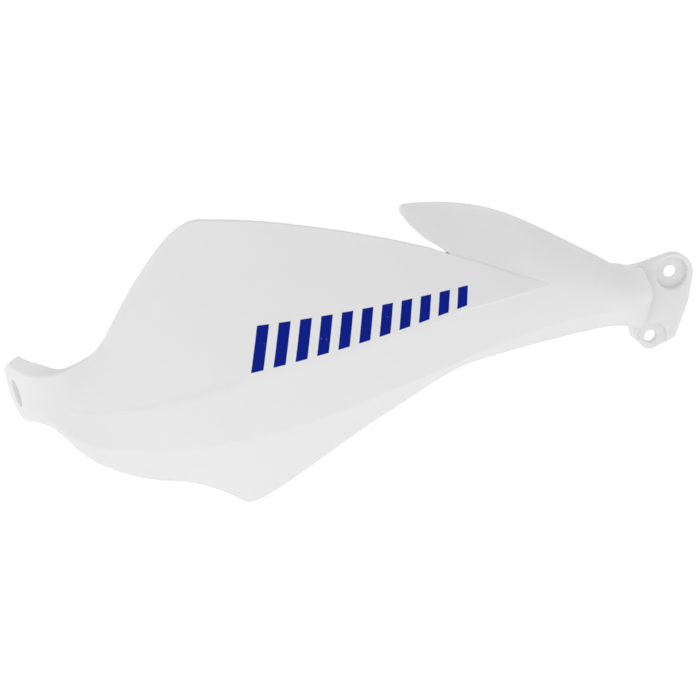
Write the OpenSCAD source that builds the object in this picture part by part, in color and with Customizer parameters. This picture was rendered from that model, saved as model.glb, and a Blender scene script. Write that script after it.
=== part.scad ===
// Motorcycle hand guard, right-hand (throttle) side, one moulding of white plastic.
//
// Frame: the origin is on the axis of the bar-end bolt, inside the end plate.
// +X runs inboard along the handlebar, -Y points forward, +Z points up.
//
// The guard is one curved wall.  Seen from above, its outer face follows a plan curve:
// the end plate, a tight bend (the neck), a wide bow (the shield) and the arm.
// A station is the distance along that curve from the bar-end axis.
// A rail is a line along the wall, given by points [station, height, setback], where
// the setback is how far the line lies behind the plan curve.

/* [Bar end] */
// Bore for the collar of the bar-end bolt
bore_d = 14; // [8:0.5:16]
// Radius of the plate's round end, at its outer face
end_r = 13; // [12:0.5:15]
// How far the plate reaches behind the bar-end axis
end_reach = 17; // [14:0.5:20]
// Radius of the plate's rounded rear edge
end_round = 1.5; // [0.5:0.5:4]
// Thickness of the end plate
end_t = 7; // [6:0.5:9]
// How much larger the end is at its inner face
end_flare = 3.8; // [0:0.2:4]

/* [Plan curve] */
// Length along the outer face, from the bar-end axis to the arm's end
guard_length = 364; // [340:2:388]
// Straight length of the end plate forward of the bar-end axis
neck_len = 20; // [17:1:24]
// Outer radius of the neck's bend
neck_r = 25; // [22:1:30]
// Angle of the neck's bend
neck_turn = 60; // [54:1:64]
// Outer radius of the shield's bow, out to its foremost line
bow_r = 300; // [270:5:360]
// Outer radius from the foremost line to the arm's end
arm_r = 400; // [360:5:480]

/* [Shield] */
// Thickness of the wall
wall = 3; // [2.5:0.25:4]
// Height of the neck's upper edge
neck_top = 18; // [16:0.5:19]
// Height of the shield's upper edge at its peak
shield_rise = 74.5; // [66:0.5:82]
// Setback of the shield's upper edge at its peak
shield_lean = 20.5; // [16:0.5:25]
// Depth of the shield's lower point
shield_drop = 71.5; // [64:0.5:80]
// Setback of the shield's lower point
point_tuck = 22.5; // [16:0.5:26]
// Depth of the lower crease under the bar axis
crease_drop = 29; // [26:0.5:31]
// How far the lower bands stand proud of the shield near the neck
neck_ledge = 0.5; // [0.2:0.1:1.8]
// How far the shield's point stands proud of the arm
arm_ledge = 0.9; // [0.2:0.1:2]

/* [Fin and arm] */
// Height of the fin's tip
fin_rise = 52; // [47:0.5:56]
// Setback of the fin's tip
fin_lean = 26.5; // [22:0.5:30]
// How far the shield's edge stands in front of the fin at the notch
fin_step = 1; // [0.5:0.25:3]
// Setback of the arm's upper and lower edges
arm_crown = 8; // [6:0.5:10]

/* [Flange] */
// Thickness of the flange
flange_t = 6; // [5:0.5:8]
// Backward tilt of the flange's face
flange_tilt = 6; // [2:1:10]
// Turn of the flange's face towards the bar end
flange_turn = 12; // [6:1:15]
// Clearance holes for the two clamp screws
screw_d = 6.6; // [5.4:0.2:7]
// Distance between the two screws along the handlebar
screw_dx = 16; // [13:0.5:18]
// Distance between the two screws up the flange's face
screw_dz = 31; // [28:0.5:34]
// Diameter of the seat round each screw's head
pocket_d = 16.5; // [15:0.5:17]
// Depth of the upper pocket
pocket_depth = 4; // [2:0.25:4.5]
// How far the lug's face lies behind the flange's face
lug_step = 2; // [1:0.25:3.5]
// Radius of the flange's edge round the upper screw
boss_r = 10.4; // [9.6:0.1:11.4]
// Radius of the lug round the lower screw
lug_r = 6.6; // [5.8:0.1:7]

/* [Hidden] */
$fn = 64;

// Length of a cut that runs past both faces
past = 1;
// The plan curve's outer face lies this far outboard of the origin
outer_x = -4;
// Height of the rounding along the free edges
edge_round = 0.8;

// Stations of the features, in order along the guard
neck_end = 48;
peak_at = 122;
point_at = 121.5;
tip_at = 230.2;
notch_at = tip_at + 14.8;
vee_at = notch_at + 49.5;
root_at = vee_at + 41.5;
arm_end = root_at + 28;

// Heights and setbacks of the points where rails meet
notch_z = 27.6;
notch_back = 9;
vee_z = -4.5;
// Height of the arm's middle line and half its height, at its end
arm_z = -35.5;
arm_half = 16.5;

// Stations where the plan curve's pieces end
neck_arc = neck_r * neck_turn * PI / 180;
bow_turn = 90 - neck_turn;
bow_arc = bow_r * bow_turn * PI / 180;
bow_from = neck_len + neck_arc;
arm_from = bow_from + bow_arc;

// Unit vector that points out of the wall at a heading
function outward(heading) = [sin(heading), -cos(heading)];

// Point of the plan curve and its outward direction at a station: [x, y, nx, ny]
function plan(s) =
    s <= neck_len ? [outer_x, -s, -1, 0] :
    s <= bow_from ?
        let(n = outward(-90 + (s - neck_len) * 180 / PI / neck_r))
        [outer_x + neck_r + neck_r * n.x, -neck_len + neck_r * n.y, n.x, n.y] :
    s <= arm_from ?
        let(n0 = outward(-bow_turn),
            n = outward(-bow_turn + (s - bow_from) * 180 / PI / bow_r),
            p0 = [outer_x + neck_r + neck_r * n0.x, -neck_len + neck_r * n0.y],
            p = p0 + bow_r * (n - n0))
        [p.x, p.y, n.x, n.y] :
        let(q = plan(arm_from),
            n = outward((s - arm_from) * 180 / PI / arm_r),
            p = [q.x, q.y] + arm_r * (n - [0, -1]))
        [p.x, p.y, n.x, n.y];

// Past the neck, the stations stretch with the guard's length
function along(s) =
    s <= neck_end ? s : neck_end + (s - neck_end) * (guard_length - neck_end) / (arm_end - neck_end);
// Point of the wall at a station, a height and a setback
function at(s, z, back) = let(p = plan(along(s))) [p.x - p[2] * back, p.y - p[3] * back, z];

// A value that goes smoothly from 0 to 1 as s goes from a to b
function ease(s, a, b) = let(t = max(0, min(1, (s - a) / (b - a)))) t * t * (3 - 2 * t);
// A value that rises over a to b and falls over c to d
function hump(s, a, b, c, d) = ease(s, a, b) * (1 - ease(s, c, d));
function mix(a, b, t) = a + (b - a) * t;

// Smooth curve through a rail's points: [height, setback] at a station
function span(pts, s, k = 0) = k >= len(pts) - 2 || s < pts[k + 1][0] ? k : span(pts, s, k + 1);
function secant(pts, k) = (pts[k + 1] - pts[k]) / (pts[k + 1][0] - pts[k][0]);
function tangent(pts, k) =
    k == 0 ? secant(pts, 0) :
    k == len(pts) - 1 ? secant(pts, k - 1) :
    let(before = pts[k][0] - pts[k - 1][0], after = pts[k + 1][0] - pts[k][0])
    (secant(pts, k - 1) * after + secant(pts, k) * before) / (before + after);
function rail(pts, s) =
    let(k = span(pts, s),
        h = pts[k + 1][0] - pts[k][0],
        t = max(0, min(1, (s - pts[k][0]) / h)),
        v = pts[k] * (1 - t) * (1 - t) * (1 + 2 * t) + pts[k + 1] * t * t * (3 - 2 * t)
            + tangent(pts, k) * h * t * (1 - t) * (1 - t) - tangent(pts, k + 1) * h * t * t * (1 - t))
    [v[1], v[2]];

// Upper edge of the shield, from the bar end over the peak to the notch
upper_edge = [
    [-end_reach, end_r - 2.5, 0], [0, end_r, 0], [13, mix(end_r, neck_top, 0.5), 0],
    [27, neck_top - 0.2, 0], [37, neck_top, 0],
    [43, neck_top + 0.8, 0.5], [48, neck_top + 1.8, 1.5], [57, neck_top + 4, 5],
    [63.5, neck_top + 6.7, 7], [67.5, shield_rise - 46.5, 8.5], [74, shield_rise - 38.5, 10.5],
    [peak_at - 40, shield_rise - 29, 13], [peak_at - 24, shield_rise - 13, shield_lean - 3.5],
    [peak_at - 12, shield_rise - 4, shield_lean - 1], [peak_at, shield_rise, shield_lean],
    [peak_at + 11, shield_rise - 1.8, shield_lean - 0.5],
    [peak_at + 26, shield_rise - 5.3, shield_lean - 1.5],
    [mix(peak_at, notch_at, 0.52), shield_rise - 18.3, shield_lean - 4.5],
    [notch_at - 33, mix(notch_z, shield_rise, 0.37), 13],
    [notch_at, notch_z, notch_back]
];
// Edge of the shield in front of the fin, from the notch down to the point on the arm
step_edge = [
    [notch_at, notch_z, notch_back], [notch_at + 13, 20, 5.9], [notch_at + 25, 11.9, 4],
    [notch_at + 36, 4.5, 2], [vee_at, vee_z, 0]
];
// Upper crease, where the shield meets the bands below it, and on to the arm's middle
upper_crease = [
    [0, 4, 0], [20, 6.5, 0], [42, 5, 0], [48.5, 2, 0], [54, -0.5, 0], [68, -2.3, 0],
    [83, -3.3, 0], [98, -2.3, 0], [130, 0.6, 0], [180, 1.5, 0], [notch_at - 38, 1.8, 0],
    [notch_at, 1, 0], [notch_at + 15, -1.2, 0], [notch_at + 35, -3.2, 0], [vee_at, vee_z, 0],
    [vee_at + 15.5, -12, 0], [vee_at + 31.5, -21, 0], [root_at + 9, -30, 0], [root_at + 32, -38, 0]
];
// Lower crease, and on along the lower side of the arm
lower_crease = [
    [0, -4, 0], [20, -0.8, 0], [31, -0.2, -0.2], [37, -4, -0.5], [41, -7.7, -0.5],
    [46, -12.4, -0.4], [53, -17.4, 0.1], [61, -21.2, 1], [70.5, -23.7, 2.2],
    [80, crease_drop * -0.91, 3],
    [103, -crease_drop - 0.4, 3.2], [151, -crease_drop - 0.6, 3.3], [177, -crease_drop + 1.2, 3.4],
    [notch_at - 41, -crease_drop + 3.3, 3.5], [notch_at - 13, -24.5, 3.5], [notch_at + 5, -23.5, 3],
    [vee_at, -26.5, 2.5], [vee_at + 22.5, -31, 2.5], [root_at + 9, -40, 2.5], [root_at + 32, -46, 3]
];
// Lower edge, from the bar end round the lower point to the arm's end
lower_edge = [
    [0, -end_r, 0], [8, -end_r + 1.5, 0], [20, -7, 0], [31, -5.3, 0], [36.5, -7.2, 0.5],
    [41, -12, 1.5], [47, -21, 3], [53, -28.5, 5], [59, -34.2, 7.5], [69, -41, point_tuck - 12.5],
    [80, -45.8, point_tuck - 10.5], [point_at - 27.5, -51, point_tuck - 7.5],
    [point_at - 16.5, -shield_drop + 13.5, point_tuck - 4.5],
    [point_at - 7.5, -shield_drop + 6, point_tuck - 2],
    [point_at - 3.5, -shield_drop + 2, point_tuck - 0.5], [point_at, -shield_drop, point_tuck],
    [point_at + 4, -shield_drop + 0.5, point_tuck - 0.5],
    [point_at + 9.5, -shield_drop + 2.5, point_tuck - 1.5],
    [mix(point_at, notch_at, 0.287), -shield_drop + 15, point_tuck - 6.5],
    [mix(point_at, notch_at, 0.522), -43.5, 12], [notch_at - 40, -37, 10], [notch_at - 14, -29.2, 7],
    [notch_at - 7, -28.2, 6.7], [notch_at + 5, -28.2, 6], [notch_at + 21, -30, 6],
    [vee_at, -35, arm_crown - 1.5], [vee_at + 22.5, -39.8, arm_crown - 1],
    [root_at + 9, -48.8, arm_crown], [root_at + 20, -55.3, arm_crown], [root_at + 32, -61, arm_crown + 1]
];
// Lower edge of the fin, from its tip down into the notch
fin_under = [
    [tip_at, fin_rise - 2.2, fin_lean - 1.2], [tip_at + 0.4, fin_rise - 4, fin_lean - 2.5],
    [tip_at + 1.75, fin_rise - 7, fin_lean - 4.5], [tip_at + 4, fin_rise - 10.5, fin_lean - 6.7],
    [tip_at + 7.6, mix(notch_z, fin_rise, 0.35), mix(notch_back + fin_step, fin_lean, 0.35)],
    [tip_at + 10.4, mix(notch_z, fin_rise, 0.22), mix(notch_back + fin_step, fin_lean, 0.22)],
    [notch_at - 1, notch_z + 1.5, mix(notch_back + fin_step, fin_lean, 0.07)],
    [notch_at, notch_z, notch_back + fin_step]
];
// Upper edge of the fin and the arm
fin_over = [
    [tip_at, fin_rise - 2.2, fin_lean - 1.2], [tip_at + 0.8, fin_rise - 0.8, fin_lean - 0.5],
    [tip_at + 2.4, fin_rise - 0.5, fin_lean], [tip_at + 6.6, fin_rise - 1.3, fin_lean + 0.3],
    [tip_at + 12.8, fin_rise - 2.8, fin_lean], [tip_at + 26.8, fin_rise - 6.6, fin_lean - 2],
    [tip_at + 37.8, fin_rise - 10.4, fin_lean - 5], [vee_at - 18.5, 38, 19], [vee_at - 7.5, 31.3, 16],
    [vee_at + 4.2, 22.5, 13], [vee_at + 15, 13.7, 11], [root_at - 15, 4, 9],
    [root_at - 5, -4.3, arm_crown - 0.4], [root_at + 3, -11.2, arm_crown - 1.8],
    [root_at + 11.5, -17.5, arm_crown - 3.4], [root_at + 20, -20.9, arm_crown - 4.8],
    [root_at + 32, -25, arm_crown - 6]
];

// Extra size of the end and of the neck's edges at the inner face
function flare(s) = end_flare * mix(0.7, 1, ease(s, 0, 25)) * (1 - ease(s, 34, 50));
function lower_flare(s) = 0.65 * end_flare * (1 - ease(s, 5, 25));
// Thickness of the wall: thick at the bar end, and where the arm roots in the flange
function thick(s) =
    mix(mix(end_t, wall, ease(s, 28, 62)), flange_t + 1.5, ease(s, root_at + 2, root_at + 18));
// How far the shield is proud of the bands along the upper crease
least_ledge = 0.05;
ledge_slope = 2;
function ledge(s) =
    let(e = arm_ledge * hump(s, notch_at - 23, notch_at + 17, notch_at + 27, vee_at)
        - neck_ledge * hump(s, 46, 62, 100, 132))
    abs(e) < least_ledge ? 0 : e;
// How far the fin lies behind the shield's edge
function step(s) = fin_step * (1 - ease(s, notch_at + 25, vee_at));

// Stations of the columns: each stretch ends at a feature, so that its corners stay sharp
function stretch(a, b, n) = [for (i = [0 : n - 1]) mix(a, b, i / n)];
round_cols = 9;
corner_r = 4;
stations = concat(
    [for (i = [0 : round_cols - 1]) -end_reach * cos(90 * i / round_cols)],
    stretch(0, 20, 4), stretch(20, neck_end, 12), stretch(neck_end, 74, 6),
    stretch(74, point_at - 15.5, 6), stretch(point_at - 15.5, point_at, 5),
    stretch(point_at, point_at + 12.5, 4), stretch(point_at + 12.5, tip_at, 13),
    stretch(tip_at, tip_at + 3, 5), stretch(tip_at + 3, notch_at - 1, 4), stretch(notch_at - 1, notch_at, 1),
    stretch(notch_at, notch_at + 25, 5), stretch(notch_at + 25, vee_at, 5), stretch(vee_at, root_at, 7),
    stretch(root_at, arm_end - corner_r, 5), stretch(arm_end - corner_r, arm_end, 4),
    [arm_end, arm_end + 0.3]
);
last = len(stations) - 1;
tip_col = search(tip_at, stations)[0];
notch_col = search(notch_at, stations)[0];
vee_col = search(vee_at, stations)[0];

// Frame of the flange: the lower screw's axis meets its face at this point
arm_tip = plan(guard_length);
flange_at = [arm_tip.x - 0.4, arm_tip.y + 7.3, -64.9];
flange_angles = [90 - flange_tilt, 0, -flange_turn];
// Direction the flange's face looks in
flange_out = [-sin(flange_turn) * cos(flange_tilt), -cos(flange_turn) * cos(flange_tilt), sin(flange_tilt)];

// Past the bar-end axis, heights shrink: below as in an ellipse, above with a fuller corner
function round_end(s, z) =
    s < 0 ? let(n = z > 0 ? 2.4 : 2) pow(max(0, 1 - pow(-s / end_reach, n)), 1 / n) : 1;
// In the front view the arm's end is curved: it leans back at its head and reaches out below
function end_shift(s, z) =
    let(u = max(-1.2, (z - arm_z) / arm_half))
    (1.5 - (u > 0 ? 2.4 + 2.2 * u : 3.2 + 1.5 * u) * u) * ease(s, root_at, arm_end);
// Drop of a rounded corner of radius r, at a distance past its start
function corner(d, r) = d > 0 ? r - sqrt(max(0, r * r - d * d)) : 0;
// The arm ends in a rounded corner, and then drops into the flange
function end_drop(s) =
    s > arm_end ? flange_t + 1 :
    s > 0 ? corner(s - arm_end + corner_r, corner_r) : corner(end_round - end_reach - s, end_round);
// Setback of the flange's back face
function flange_back(s, z) =
    let(p = plan(along(s)))
    (flange_out * ([p.x, p.y, z] - flange_at) + flange_t) / (flange_out * [p[2], p[3], 0]);
// Setback of the wall's inner face, which runs out inside the flange
function inner_back(s, z, back) =
    s <= root_at ? back + thick(s) :
    mix(back + thick(s), flange_back(s, z) - 1, ease(s, root_at + 2, root_at + 18));

// A point, rounded so that patches share their border exactly
function snap(p) = [for (v = p) round(v * 10000) / 10000];
// The upper crease fades out on the arm
function fade(s) = ease(s, notch_at - 20, vee_at);
// Rows across the wall, at t from its foot to its head, as
// [height, setback, how far the outer face is raised, extra thickness, rise of the inner face]
function lower_row(s, t) =
    let(a = rail(lower_edge, s), b = rail(lower_crease, s), c = rail(upper_crease, s))
    t < 1 ? [mix(a[0], b[0], t), mix(b[1], a[1], pow(1 - t, 1.05)), 0, 0, -lower_flare(s) * (1 - t)] :
            [mix(b[0], c[0], t - 1), mix(c[1], b[1], pow(2 - t, mix(1.1, 1.8, fade(s)))), 0, 0, 0];
function shield_head(s) = s <= notch_at ? rail(upper_edge, s) : rail(step_edge, s);
function shield_extra(s) = s <= notch_at ? fin_step * ease(s, notch_at - 40, notch_at) : step(s);
function shield_row(s, t) =
    let(a = rail(upper_crease, s), b = shield_head(s), e = ledge(s))
    [mix(a[0] + ledge_slope * abs(e), b[0], t), mix(a[1], b[1], pow(t, 1.1)), e * (1 - t),
        shield_extra(s) * t, flare(s) * t];
function fin_foot(s) =
    s <= notch_at ? rail(fin_under, s) :
    s <= vee_at ? rail(step_edge, s) + [0, step(s)] : rail(upper_crease, s);
tip_thinning = 0.4;
function fin_row(s, t) =
    let(a = fin_foot(s), b = rail(fin_over, s))
    [mix(a[0], b[0], t), mix(a[1], b[1], pow(t, mix(1.1, 1.7, ease(s, notch_at + 25, vee_at + 15.5)))), 0,
        -tip_thinning * wall * (1 - ease(s, tip_at, tip_at + 8)), 0];

// Outer and inner points of a row at a station
function outer(s, r) =
    let(s1 = s + end_shift(s, r[0]),
        deepest = inner_back(s1, r[0], r[1] + r[3]) - 0.6)
    snap(at(s1, r[0] * round_end(s, r[0]), min(r[1] - r[2] + end_drop(s), deepest)));
function inner(s, r) =
    let(grow = s < 0 ? 1 + 0.65 * end_flare / end_reach : 1,
        s1 = s * grow + end_shift(s, r[0]))
    snap(at(s1, (r[0] + r[4]) * round_end(s, r[0]), inner_back(s1, r[0], r[1] + r[3])));

// Patches: lists of rows, each row a list of points at the columns from c0 to c1
lower_ts = [0, 0.12, 0.4, 0.7, 1, 1.25, 1.5, 1.75, 2];
shield_ts = [for (i = [0 : 8]) i / 8];
fin_ts = [for (i = [0 : 6]) i / 6];
function cols(c0, c1) = [for (i = [c0 : c1]) stations[i]];
lower_outer = [for (t = lower_ts) [for (s = cols(0, last)) outer(s, lower_row(s, t))]];
lower_inner = [for (t = lower_ts) [for (s = cols(0, last)) inner(s, lower_row(s, t))]];
shield_outer = [for (t = shield_ts) [for (s = cols(0, vee_col)) outer(s, shield_row(s, t))]];
shield_inner = [for (t = shield_ts) [for (s = cols(0, vee_col)) inner(s, shield_row(s, t))]];
fin_outer = [for (t = fin_ts) [for (s = cols(tip_col, last)) outer(s, fin_row(s, t))]];
fin_inner = [for (t = fin_ts) [for (s = cols(tip_col, last)) inner(s, fin_row(s, t))]];
function part_of(row, c0, c1) = [for (i = [c0 : c1]) row[i]];
function final(list) = list[len(list) - 1];
crease_row = len(lower_ts) - 1;
head_row = len(shield_ts) - 1;
crown_row = len(fin_ts) - 1;
vee_in_fin = vee_col - tip_col;
notch_in_fin = notch_col - tip_col;

// Patches that close the steps between the outer faces
ledge_outer = [part_of(lower_outer[crease_row], 0, vee_col), shield_outer[0]];
ledge_inner = [part_of(lower_inner[crease_row], 0, vee_col), shield_inner[0]];
step_outer = [
    part_of(shield_outer[head_row], notch_col, vee_col),
    part_of(fin_outer[0], notch_in_fin, vee_in_fin)
];
end_cap = concat(
    [for (k = [0 : crease_row]) [final(lower_outer[k]), final(lower_inner[k])]],
    [for (k = [1 : crown_row]) [final(fin_outer[k]), final(fin_inner[k])]]
);

// Rounded rim along a free edge, from its outer to its inner row.
// Each step across it is [distance from the nearer row, height], as shares of the rounding.
rim_steps = [[0.3, 0.7], [1, 1], [-1, 1], [-0.3, 0.7]];
function rim_point(a, b, k, lift) =
    let(d = norm([b.x - a.x, b.y - a.y]),
        r = min(edge_round, d / 3),
        u = rim_steps[k][0] * r / d)
    snap(a + (b - a) * (u < 0 ? 1 + u : u) + [0, 0, lift * r * rim_steps[k][1]]);
// lifts holds the sense and amount of the rounding at each column, and all the steps
// of the last column lie at the point named last_at
function rim(a, b, lifts, last_at) =
    concat([a],
        [for (k = [0 : len(rim_steps) - 1])
            [for (i = [0 : len(a) - 1]) i == len(a) - 1 ? last_at : rim_point(a[i], b[i], k, lifts[i])]],
        [b]);

lower_rim = rim(lower_outer[0], lower_inner[0],
    [for (s = cols(0, last)) -hump(s, -end_reach, -end_reach + 6, arm_end - 6, arm_end)],
    final(lower_inner[0]));
upper_rim = rim(part_of(shield_outer[head_row], 0, notch_col), part_of(shield_inner[head_row], 0, notch_col),
    [for (s = cols(0, notch_col)) hump(s, -end_reach, -end_reach + 6, notch_at - 10, notch_at)],
    fin_outer[0][notch_in_fin]);
under_rim = rim(part_of(fin_outer[0], 0, notch_in_fin), part_of(fin_inner[0], 0, notch_in_fin),
    [for (s = cols(tip_col, notch_col)) -hump(s, tip_at, tip_at + 3, notch_at - 10, notch_at)],
    fin_outer[0][notch_in_fin]);
over_rim = rim(fin_outer[crown_row], fin_inner[crown_row],
    [for (s = cols(tip_col, last)) hump(s, tip_at, tip_at + 3, arm_end - 6, arm_end)],
    final(fin_inner[crown_row]));

// Patches whose rows run up or back as seen from outside, and those that run the other way
forward_patches = [lower_outer, shield_outer, fin_outer, ledge_outer, step_outer, end_cap,
    upper_rim, over_rim];
reverse_patches = [lower_inner, shield_inner, fin_inner, ledge_inner, lower_rim, under_rim];
function size(patch) = len(patch) * len(patch[0]);
function patch_start(patches, k) = k == 0 ? 0 : patch_start(patches, k - 1) + size(patches[k - 1]);
function patch_points(patches) = [for (p = patches) for (row = p) for (q = row) q];
// Two triangles for each cell, without those that have shrunk to a line
function patch_faces(p, start, order) =
    let(n = len(p[0]))
    [for (r = [0 : len(p) - 2]) for (i = [0 : n - 2])
        let(q = [p[r][i], p[r][i + 1], p[r + 1][i + 1], p[r + 1][i]],
            at = [start + r * n + i, start + r * n + i + 1,
                start + (r + 1) * n + i + 1, start + (r + 1) * n + i])
        for (f = order)
            if (q[f[0]] != q[f[1]] && q[f[1]] != q[f[2]] && q[f[2]] != q[f[0]])
                [at[f[0]], at[f[1]], at[f[2]]]];
forward_order = [[0, 2, 1], [0, 3, 2]];
reverse_order = [[0, 1, 2], [0, 2, 3]];

module moulded_wall() {
    forward = patch_points(forward_patches);
    polyhedron(
        points = concat(forward, patch_points(reverse_patches)),
        faces = concat(
            [for (k = [0 : len(forward_patches) - 1])
                each patch_faces(forward_patches[k], patch_start(forward_patches, k), forward_order)],
            [for (k = [0 : len(reverse_patches) - 1])
                each patch_faces(reverse_patches[k],
                    len(forward) + patch_start(reverse_patches, k), reverse_order)]
        )
    );
}

// Places its children on the flange: x along the handlebar, y up the face, z out of it
module on_flange() {
    translate(flange_at) rotate(flange_angles) children();
}

function arc(c, r, a0, a1, n) =
    [for (i = [0 : n]) c + r * [cos(mix(a0, a1, i / n)), sin(mix(a0, a1, i / n))]];
upper_screw = [screw_dx, screw_dz];
boss = upper_screw + [0.7, -0.3];
heel = [9.1, 1.3];
heel_r = 4.9;
flange_left = -13;
flange_outline = concat(
    arc([0, 0], lug_r, 200, 285, 8),
    arc(heel, heel_r, 290, 345, 6),
    [[screw_dx + 6, screw_dz * 0.46]],
    arc(boss, boss_r, -18, 92, 16),
    [[0, screw_dz + boss_r - 2.1], [flange_left, screw_dz + boss_r - 1.6],
        [flange_left, 11], [-10.2, 8], [-10, 2.3]]
);

module flange() {
    on_flange() translate([0, 0, -flange_t]) linear_extrude(flange_t) polygon(flange_outline);
}

// Screw hole and the seat for its head, this far behind the flange's face.
// In front of that face, the seat also cuts into the arm's end.
arm_over = 9;
module screw_cut(depth) {
    translate([0, 0, -flange_t - past]) cylinder(h = flange_t + 2 * past, d = screw_d);
    translate([0, 0, -depth]) cylinder(h = depth + arm_over, d = pocket_d);
}

// Bore through the end plate
module bar_end_cut() {
    rotate([0, 90, 0]) translate([0, 0, outer_x - past]) cylinder(h = end_t + 2 * past, d = bore_d);
}

module hand_guard() {
    color("white")
    difference() {
        union() {
            moulded_wall();
            flange();
        }
        bar_end_cut();
        on_flange() screw_cut(lug_step);
        on_flange() translate(upper_screw) screw_cut(pocket_depth);
    }
}

hand_guard();
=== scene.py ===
"""Motorcycle hand guard: the moulding in smooth detail, its finish and a small studio.

The frame's origin is on the axis of the bar-end bolt.  +X runs inboard along the handlebar,
-Y points forward and +Z points up.  Shape tables are in millimetres, everything else in metres.
"""

import math

import bmesh
import bpy
import numpy as np
from mathutils import Matrix, Vector


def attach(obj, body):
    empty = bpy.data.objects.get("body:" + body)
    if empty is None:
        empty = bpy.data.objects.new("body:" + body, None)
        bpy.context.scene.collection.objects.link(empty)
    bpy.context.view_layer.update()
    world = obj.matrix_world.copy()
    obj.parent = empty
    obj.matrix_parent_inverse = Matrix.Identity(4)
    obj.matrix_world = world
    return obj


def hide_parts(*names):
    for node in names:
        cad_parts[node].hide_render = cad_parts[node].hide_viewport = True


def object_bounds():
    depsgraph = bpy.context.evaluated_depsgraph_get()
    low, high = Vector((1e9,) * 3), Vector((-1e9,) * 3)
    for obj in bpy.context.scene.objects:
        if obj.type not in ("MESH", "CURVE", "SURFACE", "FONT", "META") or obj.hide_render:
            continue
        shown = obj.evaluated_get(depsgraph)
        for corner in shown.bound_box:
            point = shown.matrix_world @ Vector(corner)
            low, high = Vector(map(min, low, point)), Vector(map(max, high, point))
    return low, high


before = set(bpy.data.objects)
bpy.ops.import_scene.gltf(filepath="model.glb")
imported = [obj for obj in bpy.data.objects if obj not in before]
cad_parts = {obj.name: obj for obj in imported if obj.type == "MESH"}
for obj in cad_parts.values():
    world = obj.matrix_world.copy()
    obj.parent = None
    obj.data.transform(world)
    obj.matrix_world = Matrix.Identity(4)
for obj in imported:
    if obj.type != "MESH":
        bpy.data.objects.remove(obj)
CAD_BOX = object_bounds()

bl_info = {
    "name": "Motorcycle Hand Guard",
    "version": (1, 0, 0),
    "blender": (4, 5, 0),
    "location": "View3D > Sidebar > Hand Guard",
    "description": "Builds a moulded hand guard, its finish and a small studio",
    "category": "Object",
}

MM = 0.001


# The guard's sizes, in millimetres

BORE_D = 14.0
END_R, END_REACH, END_ROUND, END_T, END_FLARE = 13.0, 17.0, 1.5, 7.0, 3.8
NECK_LEN, NECK_R, NECK_TURN = 20.0, 25.0, 60.0
BOW_R, ARM_R = 300.0, 400.0
WALL, NECK_TOP = 3.0, 18.0
SHIELD_RISE, SHIELD_LEAN, SHIELD_DROP, POINT_TUCK = 74.5, 20.5, 71.5, 22.5
CREASE_DROP, NECK_LEDGE, ARM_LEDGE, LEDGE_SLOPE = 29.0, 0.5, 0.9, 2.0
FIN_RISE, FIN_LEAN, FIN_STEP = 52.0, 26.5, 1.0
ARM_END, ARM_CROWN = 364.0, 8.0
FLANGE_T, FLANGE_TILT, FLANGE_TURN = 6.0, 6.0, 12.0
SCREW_D, SCREW_DX, SCREW_DZ = 6.6, 16.0, 31.0
POCKET_D, POCKET_DEPTH, LUG_STEP, BOSS_R, LUG_R = 16.5, 4.0, 2.0, 10.4, 6.6
# The cutters of the screws reach this far out of the flange, through the arm's end
ARM_OVER = 9.0
# The plan curve's outer face lies this far outboard of the origin
OUTER_X = -4.0

# Stations along the guard where its features lie
PEAK_AT, POINT_AT, TIP_AT, NOTCH_AT = 122.0, 121.5, 230.2, 245.0
VEE_AT, ROOT_AT = 294.5, 336.0
FIN_FADE = NOTCH_AT + 25
THICK_FROM, THICK_TO = ROOT_AT + 2, ROOT_AT + 18
NOTCH_Z, NOTCH_BACK, VEE_Z = 27.6, 9.0, -4.5
ARM_Z, ARM_HALF, CORNER_R = -35.5, 16.5, 4.0

# The camera was fitted to a square picture of this many pixels; its focal length is in them too
PICTURE, FOCAL, SENSOR = 700, 2300, 36
CAMERA_AT = (-0.19712, -0.99818, 0.43706)
CAMERA_FORWARD, CAMERA_UP = (0.31245, 0.85845, -0.40674), (0.30960, 0.31279, 0.89797)
# The world's light grows towards the bar end's side by this share of its slope
ACROSS = 0.95

NECK_ARC = NECK_R * math.radians(NECK_TURN)
BOW_TURN = 90.0 - NECK_TURN
BOW_ARC = BOW_R * math.radians(BOW_TURN)
BOW_FROM = NECK_LEN + NECK_ARC
ARM_FROM = BOW_FROM + BOW_ARC


def mix(a, b, t):
    """The value a share t of the way from a to b."""
    return a + (b - a) * t


def ease(s, a, b):
    """0 before a, 1 after b and smooth between them."""
    t = np.clip((np.asarray(s, float) - a) / (b - a), 0.0, 1.0)
    return t * t * (3 - 2 * t)


def hump(s, a, b, c, d):
    """Rises over a to b and falls over c to d."""
    return ease(s, a, b) * (1 - ease(s, c, d))


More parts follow.
